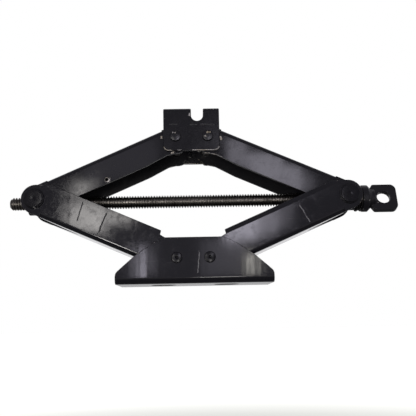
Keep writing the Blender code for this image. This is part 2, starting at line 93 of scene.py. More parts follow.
# Turned pieces.
RIVET_SHANK, RIVET_HEAD, RIVET_HEAD_THICK = 4.5 * MM, 6 * MM, 2.2 * MM
BASE_RIVET_DIMPLE, TUBE_RADIUS = 1.2 * MM, 7 * MM
JOURNAL, BARREL, BOSS_RADIUS, BOSS_HALF = 7 * MM, 12 * MM, 13 * MM, 12.6 * MM
WASHER_RADIUS, WASHER_THICK, PEEN_RADIUS, PEEN_THICK = 11.1 * MM, 2 * MM, 10 * MM, 1.5 * MM
THREAD_RADIUS, THREAD_DEPTH, THREAD_PITCH = 7 * MM, 1.45 * MM, 3 * MM
THREAD_END, SHAFT_RADIUS, COLLAR_RADIUS = -24 * MM, 6.5 * MM, 10.5 * MM
CAGE_OUTER, CAGE_INNER, CAGE_HALF = 13.4 * MM, 8.6 * MM, 0.8 * MM
RACE_RADIUS, BALL_RADIUS, BALL_CIRCLE, BALL_COUNT = 14.4 * MM, 1.5 * MM, 11 * MM, 12


# ------------------------------------------------------------------------------ outlines
def arc(centre, radius, start, end, steps):
    turn = (end - start) / steps
    return [
        (centre[0] + radius * cos(start + k * turn), centre[1] + radius * sin(start + k * turn))
        for k in range(steps + 1)
    ]


def circle(centre, radius, steps=48):
    return arc(centre, radius, 0, 2 * pi, steps)[:-1]


def oval(centre, half_length, half_width, steps=20):
    reach = half_length - half_width
    right = arc((centre[0] + reach, centre[1]), half_width, -pi / 2, pi / 2, steps)
    left = arc((centre[0] - reach, centre[1]), half_width, pi / 2, 3 * pi / 2, steps)
    return right + left


def rounded(corners, steps=8, closed=True):
    """A polyline whose corners are (x, y, radius), each rounded by its radius."""
    points = []
    for k, (x, y, radius) in enumerate(corners):
        if radius == 0 or (not closed and k in (0, len(corners) - 1)):
            points.append((x, y))
            continue
        here = Vector((x, y))
        before = (Vector(corners[k - 1][:2]) - here).normalized()
        after = (Vector(corners[(k + 1) % len(corners)][:2]) - here).normalized()
        half = acos(max(-1, min(1, before.dot(after)))) / 2
        if half > radians(88):
            points.append((x, y))
            continue
        first = here + before * radius / tan(half)
        centre = here + (before + after).normalized() * radius / sin(half)
        start = atan2(first.y - centre.y, first.x - centre.x)
        last = here + after * radius / tan(half)
        end = atan2(last.y - centre.y, last.x - centre.x)
        turn = (end - start + pi) % (2 * pi) - pi
        points += arc(centre, radius, start, start + turn, steps)
    return points


# ------------------------------------------------------------------------ making objects
def new_object(name, bm):
    mesh = bpy.data.meshes.new(name)
    bm.to_mesh(mesh)
    bm.free()
    made = bpy.data.objects.new(name, mesh)
    bpy.context.scene.collection.objects.link(made)
    return made


def modifier(obj, kind, **settings):
    made = obj.modifiers.new(kind.title(), kind)
    for key, value in settings.items():
        setattr(made, key, value)
    return made


def apply_modifiers(obj):
    graph = bpy.context.evaluated_depsgraph_get()
    graph.update()
    mesh = bpy.data.meshes.new_from_object(obj.evaluated_get(graph))
    obj.modifiers.clear()
    obj.data = mesh


def settle(obj, angle=radians(50)):
    """Applies the modifiers and the transform, and shades smooth across soft corners
    while the large faces stay flat."""
    apply_modifiers(obj)
    obj.data.transform(obj.matrix_world)
    obj.matrix_world = Matrix.Identity(4)
    obj.data.shade_smooth()
    obj.data.set_sharp_from_angle(angle=angle)
    modifier(
        obj, "WEIGHTED_NORMAL", mode="FACE_AREA", weight=100, keep_sharp=True,
        use_face_influence=True,
    )
    apply_modifiers(obj)


def finish_piece(obj, body, nodes, materials):
    slots = obj.data.materials
    for index, material in enumerate(materials):
        if index < len(slots):
            slots[index] = material
        else:
            slots.append(material)
    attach(obj, body)
    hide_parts(*nodes)


def along(axis):
    return Vector((0, 0, 1)).rotation_difference(Vector(axis)).to_matrix().to_4x4()


def lathe_mesh(bm, profile, steps, place=Matrix.Identity(4)):
    """Turns a profile of (radius, height) about Z. It runs from the top down the outer
    side; a profile that starts and ends on the axis is a solid, any other is a ring."""
    solid = profile[0][0] < 1e-9
    rows = []
    for r, z in profile:
        if r < 1e-9:
            rows.append([bm.verts.new(place @ Vector((0, 0, z)))])
        else:
            rows.append([
                bm.verts.new(place @ Vector((r * cos(a), r * sin(a), z)))
                for a in (2 * pi * k / steps for k in range(steps))
            ])
    pairs = list(zip(rows, rows[1:]))
    if not solid:
        pairs.append((rows[-1], rows[0]))
    for upper, lower in pairs:
        for k in range(steps):
            n = (k + 1) % steps
            corners = [upper[k % len(upper)], lower[k % len(lower)]]
            corners += [lower[n % len(lower)], upper[n % len(upper)]]
            unique = list(dict.fromkeys(corners))
            if len(unique) > 2:
                bm.faces.new(unique)


def lathe(name, profile, place, steps=72):
    bm = bmesh.new()
    lathe_mesh(bm, profile, steps, place)
    made = new_object(name, bm)
    settle(made)
    return made


def soften(points, radius, ring=False):
    """Rounds every corner of a turned profile."""
    closed = [(r, z, radius) for r, z in points]
    return rounded(closed, steps=4, closed=ring)


def flat_face(bm, loops, place):
    """Fills the first loop apart from the holes, which are the other loops. place turns a
    point of a loop into a position. Returns the vertices of each loop."""
    made, edges = [], []
    for loop in loops:
        verts = [bm.verts.new(place(a, b)) for a, b in loop]
        edges += [bm.edges.new(pair) for pair in zip(verts, verts[1:] + verts[:1])]
        made.append(verts)
    bmesh.ops.triangle_fill(bm, edges=edges, use_beauty=True)
    return made


RIM, WORN = 1, 2  # material slots of a sheet's cut edges and their corners; its faces have 0
BEND_STEPS = 12


def folded_sheet(name, outline, holes, spans, web, width, bend, web_holes=(), one_side=(),
                 vee=False, round_edge=ROUND_EDGE):
    """A U of sheet metal in its own frame, with its cut edges broken by small rounds. Two
    side plates of the given outline and holes stand across Y, and webs at Z = -web join
    them over the spans along X. one_side holes are in the plate at positive Y only."""
    bm = bmesh.new()
    for side in (-1, 1):
        own = list(one_side) if side > 0 else []
        flat_face(bm, [outline, *holes, *own], lambda a, b: (a, side * width / 2, b))
    inner = width / 2 - bend
    quarter = arc((inner, bend - web), bend, 0, -pi / 2, BEND_STEPS)
    for left, right in spans:
        for side in (-1, 1):
            for (y0, z0), (y1, z1) in zip(quarter, quarter[1:]):
                corners = ((left, y0, z0), (right, y0, z0), (right, y1, z1), (left, y1, z1))
                bm.faces.new([bm.verts.new((x, side * y, z)) for x, y, z in corners])
        rim = [(left, -inner), (right, -inner), (right, inner), (left, inner)]
        if vee:
            rim += rounded([(left, VEE_HALF, 0), (VEE_TIP, 0, VEE_ROUND), (left, -VEE_HALF, 0)])
        flat_face(bm, [rim, *web_holes], lambda a, b: (a, b, -web))
    bmesh.ops.remove_doubles(bm, verts=bm.verts, dist=1e-6)
    bmesh.ops.recalc_face_normals(bm, faces=bm.faces)
    lowest = min(bm.faces, key=lambda face: face.calc_center_median().z)
    if lowest.normal.z > 0:
        bmesh.ops.reverse_faces(bm, faces=bm.faces)
    # A narrow border of even quads, so that the rounding of the cut edges stays clean.
    border = round_edge + 0.08 * MM
    longest = 1.6 * border
    bmesh.ops.inset_region(
        bm, faces=bm.faces[:], use_boundary=True, use_even_offset=True, thickness=border
    )
    outer = {vert for edge in bm.edges if edge.is_boundary for vert in edge.verts}
    for vert in outer:
        for edge in vert.link_edges:
            moved = edge.other_vert(vert)
            if moved not in outer and (moved.co - vert.co).length > longest:
                moved.co = vert.co + (moved.co - vert.co).normalized() * longest
    made = new_object(name, bm)
    for _ in range(3):
        made.data.materials.append(None)
    modifier(
        made, "SOLIDIFY", thickness=SHEET, offset=-1, use_even_offset=True,
        material_offset_rim=RIM,
    )
    modifier(
        made, "BEVEL", width=round_edge, segments=3, limit_method="ANGLE",
        angle_limit=radians(50), material=WORN, use_clamp_overlap=False,
        miter_outer="MITER_ARC", face_strength_mode="FSTR_ALL",
    )
    apply_modifiers(made)
    # Where a web ends, the rounding overshoots in the closed slit beside the side plate.
    ends = [end for span in spans for end in span]
    for vert in made.data.vertices:
        if any(abs(vert.co.x - end) < SHEET for end in ends):
            vert.co.z = max(vert.co.z, -web)
    return made


# ------------------------------------------------------------------------ arms and gears
def involute(angle):
    return tan(angle) - angle


def tooth(centre):
    """One involute tooth of the sector gear, centred at an angle round the gear's pivot."""
    pitch_radius = ACROSS
    base = pitch_radius * cos(PRESSURE_ANGLE)
    thick = pi * pitch_radius / TEETH_PER_TURN - BACKLASH / 2
    flank = []
    for k in range(5):
        radius = base + (TIP_RADIUS - base) * k / 4
        slope = acos(base / radius)
        half = thick / 2 / pitch_radius + involute(PRESSURE_ANGLE) - involute(slope)
        flank.append((radius, half))
    flank = [(ROOT_RADIUS, flank[0][1])] + flank
    rising = [(r, centre - half) for r, half in flank]
    falling = [(r, centre + half) for r, half in reversed(flank)]
    return [(ARM_LENGTH + r * cos(a), r * sin(a)) for r, a in rising + falling]


def arm_outline(web, edge, lug_shift, taper, teeth, cuts, shoulder):
    """An arm's side plate, from its trunnion pivot at the origin to its gear's pivot on X.
    The lug round the trunnion is as far out as the web, and the web spans the cuts."""
    bend_line = ARM_BEND - web
    near_cut, far_cut = cuts
    pivot = (ARM_LENGTH, 0)
    heel = min(ROOT_RADIUS, web)
    points = [(near_cut, bend_line), (far_cut, bend_line), (far_cut, -heel)]
    first, last = radians(-80), teeth[0] - TOOTH_PITCH / 2
    for k in range(17):
        radius = heel + (ROOT_RADIUS - heel) * k / 16
        angle = first + (last - first) * k / 16
        points.append((ARM_LENGTH + radius * cos(angle), radius * sin(angle)))
    for centre in teeth:
        points += tooth(centre)
    points += arc(pivot, SECTOR_RADIUS, teeth[-1] + 0.85 * TOOTH_PITCH, radians(118), 8)
    points.append((ARM_LENGTH - 17 * MM, 14.7 * MM))
    points += [(ARM_LENGTH - back, height) for back, height in shoulder]
    points.append((taper, edge))
    rise, run = edge, taper - lug_shift
    tangent = atan2(rise, run) + acos(web / hypot(rise, run))
    points += arc((lug_shift, 0), web, tangent, 1.5 * pi, 32)
    points.append((near_cut, -web))
    return points


def arm(level, hand, offset, materials):
    """One of the four arms. An offset gear has its teeth half a pitch on, so that the two
    gears of a pair mesh."""
    lower, left = level == "lower", hand == "left"
    if lower:
        web, edge, width, shift, taper = LOWER_WEB, LOWER_EDGE, LOWER_WIDTH, 2 * MM, 12 * MM
        cuts = (13 * MM, ARM_LENGTH - 12 * MM)
        shoulder = [(26 * MM, 16 * MM), (26.6 * MM, edge)]
    else:
        web, edge, width, shift, taper = UPPER_WEB, UPPER_EDGE, UPPER_WIDTH, 0, 26 * MM
        cuts = (20 * MM, ARM_LENGTH - 11 * MM)
        shoulder = [(42 * MM, edge)]
    first = FIRST_TOOTH - (TOOTH_PITCH / 2 if offset else 0)
    teeth = [first + k * TOOTH_PITCH for k in range(5 if offset else 4)]
    outline = arm_outline(web, edge, shift, taper, teeth, cuts, shoulder)
    opened_pivot = not lower and not left
    pivot_hole = RIVET_SHANK + (2 * GAP if opened_pivot else GAP)
    holes = [circle((0, 0), JOURNAL + GAP), circle((ARM_LENGTH, 0), pivot_hole)]
    small = [circle((78.5 * MM, 12.2 * MM), 1.9 * MM, 24)] if not lower and left else []
    made = folded_sheet(
        f"{level}_{hand}_arm_sheet", outline, holes, [cuts], web, width, ARM_BEND,
        one_side=small, vee=lower,
    )
    start = TRUNNION[hand]
    end = BASE_PIVOT[hand] if lower else Vector((BASE_PIVOT[hand].x, 0, SADDLE_Z))
    direction = (end - start).normalized()
    inward = Vector((-direction.z, 0, direction.x))
    if (inward.z > 0) != lower:
        inward = -inward
    turn = Matrix((direction, inward.cross(direction), inward)).transposed().to_4x4()
    made.matrix_world = Matrix.Translation(start) @ turn
    settle(made)
    finish_piece(made, f"{level}_{hand}_arm", [f"{level}_{hand}_arm"], materials)


# ----------------------------------------------------------------------- base and saddle
def base(materials):
    half, height = 83.7 * MM, 48.5 * MM
    right = [
        (half, BASE_BEND, 0),
        (half, 11.5 * MM, 8 * MM),
        (62 * MM, 30.5 * MM, 14 * MM),
        (42 * MM, 43.2 * MM, 14 * MM),
        (31 * MM, height, 6 * MM),
    ]
    left = [(-x, z, r) for x, z, r in reversed(right)]
    height_of_pivot = BASE_PIVOT["left"].z
    holes = [circle((x, height_of_pivot), RIVET_SHANK + GAP) for x in (-ACROSS, ACROSS)]
    slots = [oval((side * 34.5 * MM + BASE_SHIFT, 0), 13.5 * MM, 12.5 * MM) for side in (-1, 1)]
    outline = [(x + BASE_SHIFT, z) for x, z in rounded(right + left)]
    spans = [(BASE_SHIFT - half, BASE_SHIFT + half)]
    made = folded_sheet("base_sheet", outline, holes, spans, 0, BASE_WIDTH, BASE_BEND, slots)
    settle(made)
    finish_piece(made, "base", ["base"], materials)


def saddle(materials):
    half, top, drop, corner = 30.4 * MM, 31.5 * MM, 16 * MM, 5.3 * MM
    notch_centre, notch_half, notch_depth = 6.3 * MM, 6.5 * MM, 14.4 * MM
    bend_line = SADDLE_BEND - top
    left, right = notch_centre - notch_half, notch_centre + notch_half
    notch = arc((notch_centre, notch_depth - top - notch_half), notch_half, pi, 0, 28)
    outline = [(-half, bend_line), (left, bend_line), *notch, (right, bend_line)]
    outline.append((half, bend_line))
    for side, start in ((1, 0), (-1, pi / 2)):
        centre = (side * (half - corner), drop - corner)
        outline += arc(centre, corner, start, start + pi / 2, 12)
    holes = [circle((x, 0), RIVET_SHANK + GAP) for x in (-ACROSS, ACROSS)]
    spans = [(-half, left), (right, half)]
    made = folded_sheet(
        "saddle_sheet", outline, holes, spans, top, SADDLE_WIDTH, SADDLE_BEND,
        round_edge=SADDLE_ROUND_EDGE,
    )
    made.matrix_world = Matrix.Translation((0, 0, SADDLE_Z)) @ Matrix.Rotation(pi, 4, "X")
    settle(made)
    finish_piece(made, "saddle", ["saddle"], materials)


# --------------------------------------------------------------------- rivets and tubes
def rivet(name, body, x, z, width, dimple, materials):
    """A rivet right across the jack, headed outside a sheet of the given width. Its heads
    are dimpled by the punch where dimple isn't 0."""
    face, brim, shoulder, flat = width / 2 + GAP, 0.6 * MM, 1.5 * MM, 2.6 * MM
    top = face + RIVET_HEAD_THICK
    half = [
        (RIVET_SHANK, face - 0.1 * MM),
        (RIVET_HEAD - 0.15 * MM, face),
        (RIVET_HEAD, face + brim),
        *arc((RIVET_HEAD - shoulder, face + brim), shoulder, 0, pi / 2.6, 6)[1:],
        (flat + 0.4 * MM, top - 0.06 * MM),
        (flat, top),
    ]
    if dimple:
        half += [(1.6 * MM, top), (1.25 * MM, top - 0.25 * MM), (0.8 * MM, top - 0.9 * MM)]
        half += [(0.3 * MM, top - dimple), (0, top - dimple)]
    else:
        half += [(1.2 * MM, top), (0, top)]
    profile = list(reversed(half)) + [(r, -y) for r, y in half]
    place = Matrix.Translation((x, 0, z)) @ along((0, 1, 0))
    made = lathe(f"{name}_turned", profile, place, 56)
    finish_piece(made, body, [name], materials)


def distance_tube(name, body, x, z, width, materials):
    half, bore = width / 2 - SHEET - GAP, RIVET_SHANK + GAP
    profile = [(TUBE_RADIUS, half), (TUBE_RADIUS, -half), (bore, -half), (bore, half)]
    place = Matrix.Translation((x, 0, z)) @ along((0, 1, 0))
    made = lathe(f"{name}_turned", soften(profile, 0.4 * MM, ring=True), place, 56)
    finish_piece(made, body, [name], materials)


# --------------------------------------------------------------------------- trunnions
def cylinder(name, radius, start, end, steps=72):
    """A helper that only joins or cuts, along X from the trunnion."""
    bm = bmesh.new()
    lathe_mesh(bm, [(0, end), (radius, end), (radius, start), (0, start)], steps, along((1, 0, 0)))
    return new_object(name, bm)


def combine(obj, other, operation):
    modifier(obj, "BOOLEAN", operation=operation, object=other, solver="EXACT")
    apply_modifiers(obj)
    bpy.data.objects.remove(other)


def trunnion(name, hand, bore, materials):
    """A cross pin with a barrel between the arms, a boss along the screw and peened ends."""
    inside = UPPER_WIDTH / 2 - SHEET - SIDE_GAP
    peen = LOWER_WIDTH / 2 + GAP + WASHER_THICK + GAP
    top = peen + PEEN_THICK
    half = [
        (0, top - 0.25 * MM),
        (0.8 * MM, top - 0.2 * MM),
        (2.0 * MM, top - 0.03 * MM),
        (4 * MM, top),
        (PEEN_RADIUS * 0.89, top - 0.01 * MM),
        (PEEN_RADIUS * 0.95, top - 0.12 * MM),
        (PEEN_RADIUS * 0.99, top - 0.40 * MM),
        (PEEN_RADIUS, top - 0.8 * MM),
        (PEEN_RADIUS - 0.1 * MM, peen + 0.1 * MM),
        (PEEN_RADIUS - 0.3 * MM, peen),
        (JOURNAL, peen),
        (JOURNAL, inside),
        (BARREL - 1 * MM, inside),
        (BARREL - 0.3 * MM, inside - 0.3 * MM),
        (BARREL, inside - 1 * MM),
    ]
    profile = half + [(r, -y) for r, y in reversed(half)]
    bm = bmesh.new()
    lathe_mesh(bm, profile, 72, along((0, 1, 0)))
    made = new_object(f"{name}_forged", bm)
    combine(made, cylinder("boss", BOSS_RADIUS, -BOSS_HALF, BOSS_HALF), "UNION")
    combine(made, cylinder("bore", bore, -3 * BARREL, 3 * BARREL), "DIFFERENCE")
    modifier(
        made, "BEVEL", width=0.7 * MM, segments=3, limit_method="ANGLE",
        angle_limit=radians(42), use_clamp_overlap=False,
    )
    made.matrix_world = Matrix.Translation(TRUNNION[hand])
    settle(made)
    finish_piece(made, f"{hand}_trunnion", [name], materials)


def trunnion_washer(hand, place, side, materials):
    name = f"{hand}_washer_{place}"
    bore = JOURNAL + GAP
    profile = [
        (bore, WASHER_THICK - 0.3 * MM),
        (bore + 0.3 * MM, WASHER_THICK),
        (WASHER_RADIUS - 0.9 * MM, WASHER_THICK),
        (WASHER_RADIUS - 0.35 * MM, WASHER_THICK - 0.12 * MM),
        (WASHER_RADIUS - 0.08 * MM, WASHER_THICK - 0.45 * MM),
        (WASHER_RADIUS, WASHER_THICK - 0.9 * MM),
        (WASHER_RADIUS, 0.15 * MM),
        (WASHER_RADIUS - 0.15 * MM, 0),
        (bore, 0),
    ]
    spot = TRUNNION[hand] + Vector((0, side * (LOWER_WIDTH / 2 + GAP), 0))
    made = lathe(f"{name}_turned", profile, Matrix.Translation(spot) @ along((0, side, 0)))
    finish_piece(made, f"{hand}_trunnion", [name], materials)


# ------------------------------------------------------------------------ screw assembly
ON_SCREW = Matrix.Translation(SCREW) @ along((1, 0, 0))


def thread_knots():
    """A rolled trapezoid thread as (phase from 0 to 1 along one pitch, radius)."""
    crest, root, soft = THREAD_RADIUS, THREAD_RADIUS - THREAD_DEPTH, 0.12 * MM
    valley = [(0.0, root), (0.30, root), (0.335, root + soft), (0.465, crest - soft)]
    ridge = [(0.5, crest), (0.80, crest), (0.835, crest - soft), (0.965, root + soft)]
    return valley + ridge


def drive_screw(materials):
    """The helix is one ring of points for every knot of every turn, joined a turn further
    on where a ring closes. It fades out before the shank, and starts from a pointed tip."""
    node_low, node_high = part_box("drive_screw")
    left, tip = node_low[0] - SCREW.x, node_high[0] - SCREW.x
    knots, steps, tip_radius, tip_slope = thread_knots(), 36, THREAD_RADIUS - 2.4 * MM, 0.95
    turns = int((THREAD_END - left) / THREAD_PITCH) + 2
    bm = bmesh.new()
    rows = []
    for turn in range(turns + 1):
        for phase, radius in knots:
            row = []
            for k in range(steps):
                height = left + (turn - 1 + phase + k / steps) * THREAD_PITCH
                fade = max(0.0, min(1.0, (THREAD_END - height) / (2 * THREAD_PITCH)))
                run_out = THREAD_RADIUS - (THREAD_RADIUS - radius) * fade
                height = max(left, min(THREAD_END, height))
                point = min(run_out, tip_radius + (height - left) * tip_slope)
                angle = 2 * pi * k / steps
                row.append(bm.verts.new((point * cos(angle), point * sin(angle), height)))
            rows.append(row)
    for lower, upper in zip(rows, rows[1:]):
        for k in range(steps - 1):
            bm.faces.new((lower[k], lower[k + 1], upper[k + 1], upper[k]))
    per_turn = len(knots)
    for row in range(len(rows) - per_turn - 1):
        lower, upper = rows[row], rows[row + 1]
        joined_low, joined_high = rows[row + per_turn], rows[row + per_turn + 1]
        bm.faces.new((lower[-1], joined_low[0], joined_high[0], upper[-1]))
    bmesh.ops.remove_doubles(bm, verts=bm.verts, dist=2e-6)
    bmesh.ops.dissolve_degenerate(bm, edges=bm.edges, dist=1e-6)
    loose = [edge for edge in bm.edges if edge.is_boundary]
    bmesh.ops.holes_fill(bm, edges=loose, sides=0)
    bmesh.ops.triangulate(bm, faces=[face for face in bm.faces if len(face.verts) > 4])
    shank = [
        (0, tip),
        (SHAFT_RADIUS - 0.8 * MM, tip),
        (SHAFT_RADIUS, tip - 0.8 * MM),
        (SHAFT_RADIUS, THREAD_END + 2 * MM),
        (THREAD_RADIUS, THREAD_END + 0.6 * MM),
        (THREAD_RADIUS, THREAD_END - 0.05 * MM),
        (0, THREAD_END - 0.05 * MM),
    ]
    lathe_mesh(bm, shank, 48)
    bmesh.ops.recalc_face_normals(bm, faces=bm.faces)
    made = new_object("drive_screw_threaded", bm)
    made.matrix_world = ON_SCREW
    settle(made)
    finish_piece(made, "screw", ["drive_screw"], materials)


def on_screw_ring(name, body, outer, bore, materials, round_by=0.25 * MM):
    low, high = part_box(name)
    start, end = low[0] - SCREW.x, high[0] - SCREW.x
    profile = [(outer, end), (outer, start), (bore, start), (bore, end)]
    made = lathe(f"{name}_turned", soften(profile, round_by, ring=True), ON_SCREW)
    finish_piece(made, body, [name], materials)


def ball_cage(materials):
    low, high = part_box("thrust_ball_cage")
    middle = (low[0] + high[0]) / 2 - SCREW.x
    bm = bmesh.new()
    ring = [(CAGE_OUTER, middle + CAGE_HALF), (CAGE_OUTER, middle - CAGE_HALF)]
    ring += [(CAGE_INNER, middle - CAGE_HALF), (CAGE_INNER, middle + CAGE_HALF)]
    lathe_mesh(bm, soften(ring, 0.2 * MM, ring=True), 72)
    ball = arc((0, 0), BALL_RADIUS, pi / 2, -pi / 2, 12)
    for x, y in circle((0, 0), BALL_CIRCLE, BALL_COUNT):
        lathe_mesh(bm, ball, 20, Matrix.Translation((x, y, middle)))
    made = new_object("thrust_ball_cage_turned", bm)
    made.matrix_world = ON_SCREW
    settle(made)
    finish_piece(made, "screw", ["thrust_ball_cage"], materials)


def collar(materials, pin_materials):
    on_screw_ring(
        "retaining_collar", "screw", COLLAR_RADIUS, SHAFT_RADIUS + GAP, materials,
        round_by=0.5 * MM,
    )
    low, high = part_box("collar_pin")
    middle, half = (low[0] + high[0]) / 2, (high[2] - low[2]) / 2
    radius = (high[0] - low[0]) / 2
    profile = soften([(0, half), (radius, half), (radius, -half), (0, -half)], 0.3 * MM)
    made = lathe("collar_pin_turned", profile, Matrix.Translation((middle, 0, SCREW.z)), 32)
    finish_piece(made, "screw", ["collar_pin"], pin_materials)


def drive_eye(materials):
    """The forging: thrust flange, cone, neck and flat eye, blended by a fine remesh."""
    low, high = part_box("drive_eye")
    start, end = low[0] - SCREW.x, high[0] - SCREW.x
    flange, flange_end, neck = 15 * MM, 26.2 * MM, 10.2 * MM
    half_height, thick, hole, tilt = 16 * MM, 7 * MM, 7.4 * MM, radians(-19)
    neck_end, hole_at = 35 * MM, 45 * MM
    profile = [
        (0, neck_end),
        (neck - 1 * MM, neck_end),
        (neck, neck_end - 1 * MM),
        (neck, flange_end + flange - neck),
        (flange, flange_end),
        (flange, start),
        (0, start),
    ]
    bm = bmesh.new()
    lathe_mesh(bm, profile, 96, along((1, 0, 0)))
    made = new_object("drive_eye_forged", bm)
    root, shoulder = 30 * MM, 33.5 * MM
    outline = rounded([
        (root, -neck, 0),
        (shoulder, -half_height, 3 * MM),
        (end, -half_height, 6.7 * MM),
        (end, half_height, 6.7 * MM),
        (shoulder, half_height, 3 * MM),
        (root, neck, 0),
    ], steps=10)
    bm = bmesh.new()
    near, far = (
        flat_face(bm, [outline], lambda a, b: (a, side * thick / 2, b))[0] for side in (-1, 1)
    )
    for k, vert in enumerate(near):
        bm.faces.new((near[k - 1], vert, far[k], far[k - 1]))
    bmesh.ops.recalc_face_normals(bm, faces=bm.faces)
    flat = new_object("eye_plate", bm)
    flat.matrix_world = Matrix.Rotation(tilt, 4, "X")
    combine(made, flat, "UNION")
    bm = bmesh.new()
    lathe_mesh(bm, [(0, thick), (hole, thick), (hole, -thick), (0, -thick)], 72)
    drill = new_object("eye_drill", bm)
    place = Matrix.Rotation(tilt, 4, "X") @ Matrix.Translation((hole_at, 0, 0))
    drill.matrix_world = place @ along((0, 1, 0))
    combine(made, drill, "DIFFERENCE")
    modifier(made, "REMESH", mode="VOXEL", voxel_size=0.45 * MM)
    modifier(made, "SMOOTH", factor=0.5, iterations=6)
    made.matrix_world = Matrix.Translation(SCREW)
    settle(made, radians(60))
    finish_piece(made, "screw", ["drive_eye"], materials)


# ---------------------------------------------------------------------------- materials
RANGE = ("From Min", "From Max", "To Min", "To Max")


class Shader:
    """A Principled material with short calls for the nodes that vary it."""

    def __init__(self, name, specular=0.5, metallic=0.0):
        self.material = bpy.data.materials.new(name)
        self.material.use_nodes = True
        self.nodes, self.links = self.material.node_tree.nodes, self.material.node_tree.links
        self.out = self.nodes["Principled BSDF"]
        self.out.inputs["Specular IOR Level"].default_value = specular
        self.out.inputs["Metallic"].default_value = metallic
        self.where = self.nodes.new("ShaderNodeTexCoord").outputs["Object"]

    def put(self, socket, value):
        if isinstance(value, bpy.types.NodeSocket):
            self.links.new(value, socket)
        elif isinstance(value, tuple) and len(socket.default_value) == 4:
            socket.default_value = (*value, 1)
        else:
            socket.default_value = value

    def set(self, name, value):
        self.put(self.out.inputs[name], value)

    def stretched(self, scale, turn=(0, 0, 0)):
        made = self.nodes.new("ShaderNodeMapping")
        made.inputs["Scale"].default_value = scale
        made.inputs["Rotation"].default_value = turn
        self.links.new(self.where, made.inputs["Vector"])
        return made.outputs["Vector"]

    def noise(self, scale, detail=3.0, rough=0.5, where=None):
        made = self.nodes.new("ShaderNodeTexNoise")
        made.inputs["Scale"].default_value = scale
        made.inputs["Detail"].default_value = detail
        made.inputs["Roughness"].default_value = rough
        self.links.new(where or self.where, made.inputs["Vector"])
        return made.outputs["Fac"]

    def remap(self, value, low, high, to_low=0.0, to_high=1.0, smooth=False):
        made = self.nodes.new("ShaderNodeMapRange")
        made.interpolation_type = "SMOOTHSTEP" if smooth else "LINEAR"
        for name, number in zip(RANGE, (low, high, to_low, to_high)):
            made.inputs[name].default_value = number
        self.links.new(value, made.inputs["Value"])
        return made.outputs["Result"]

    def math(self, operation, *values):
        made = self.nodes.new("ShaderNodeMath")
        made.operation = operation
        for socket, value in zip(made.inputs, values):
            self.put(socket, value)
        return made.outputs["Value"]

    def plus(self, first, second):
        return self.math("ADD", first, second)

    def minus(self, first, second):
        return self.math("SUBTRACT", first, second)

    def times(self, first, second):
        return self.math("MULTIPLY", first, second)

    def mix(self, factor, first, second):
        made = self.nodes.new("ShaderNodeMix")
        made.data_type = "RGBA"
        for index, value in ((0, factor), (6, first), (7, second)):
            self.put(made.inputs[index], value)
        return made.outputs[2]

    def bump(self, height, strength, distance, normal=None):
        made = self.nodes.new("ShaderNodeBump")
        made.inputs["Strength"].default_value = strength
        made.inputs["Distance"].default_value = distance
        self.links.new(height, made.inputs["Height"])
        if normal is not None:
            self.links.new(normal, made.inputs["Normal"])
        return made.outputs["Normal"]

    def axes(self):
        made = self.nodes.new("ShaderNodeSeparateXYZ")
        self.links.new(self.where, made.inputs["Vector"])
        return made.outputs

    def within(self, value, low, high):
        above = self.math("GREATER_THAN", value, low)
        return self.times(above, self.math("LESS_THAN", value, high))

    def reach(self, point, direction):
        """How far a place lies from a point (x, z) along a direction (x, z)."""
        x, _, z = self.axes()
        along_x = self.times(self.minus(x, point[0]), direction[0])
        return self.plus(along_x, self.times(self.minus(z, point[1]), direction[1]))

    def wandering_line(self, start, end, width):
        """1 within a thin, slightly wandering line across the near side plates."""
        wander = self.remap(self.noise(260, 2), 0.3, 0.7, -0.6 * width, 0.6 * width)
        run, rise = end[0] - start[0], end[1] - start[1]
        length = hypot(run, rise)
        run, rise = run / length, rise / length
        offset = self.math("ABSOLUTE", self.plus(self.reach(start, (rise, -run)), wander))
        line = self.remap(offset, width * 0.4, width, 1.0, 0.0)
        inside = self.within(self.reach(start, (run, rise)), 0.0, length)
        broken = self.remap(self.noise(500, 2), 0.35, 0.5)
        near_side = self.math("LESS_THAN", self.axes()["Y"], 0.0)
        return self.times(self.times(self.times(line, inside), broken), near_side)

    def spot(self, centre, radius, edge=0.5):
        """1 in a ragged patch round a point."""
        made = self.nodes.new("ShaderNodeVectorMath")
        made.operation = "DISTANCE"
        self.links.new(self.where, made.inputs[0])
        made.inputs[1].default_value = centre
        ragged = self.remap(self.noise(700, 3, 0.6), 0.3, 0.7, 1 - edge, 1 + edge)
        reach = self.times(made.outputs["Value"], ragged)
        return self.remap(reach, radius * 0.8, radius, 1.0, 0.0)


# The first colour is steel where the paint is worn through, and also the colour of the painted
# glints on the saddle rivets and of the painted highlight along the saddle's lower edge.
BARE_AND_GLINT, TAN, DUST = (0.50, 0.48, 0.46), (0.36, 0.31, 0.22), (0.075, 0.066, 0.050)
HAIRLINE = (0.10, 0.098, 0.095)
# The second and third colours are the same black made lighter, painted light on the lower arms and
# on the base; the last is darker, painted shade on the base's cut edges and in its sole slots.
BLACK, LOWER_BLACK_PAINTED_LIGHT, BASE_BLACK_PAINTED_LIGHT, RIM_BLACK_PAINTED_SHADE = (
    (0.0085, 0.0082, 0.0108), (0.0112, 0.0108, 0.0142), (0.0108, 0.0105, 0.0138),
    (0.005, 0.005, 0.006),
)


def worn_and_glint_mask(shader, wear, zone, bare_and_glints):
    """1 where the paint is worn through, in chips if wear isn't 0, and in the listed patches, some
    of which paint a glint or a highlight.
    """
    metal = None
    if wear > 0:
        chips = shader.plus(shader.noise(210, 5, 0.62), shader.times(shader.noise(24, 2), 0.8))
        metal = shader.remap(chips, 1.12 - 0.42 * wear, 1.16 - 0.42 * wear)
        if zone is not None:
            axis, low, high = zone
            metal = shader.times(metal, shader.within(shader.axes()[axis], low, high))
    for centre, radius in bare_and_glints:
        patch = shader.spot(centre, radius)
        metal = patch if metal is None else shader.math("MAXIMUM", metal, patch)
    return metal


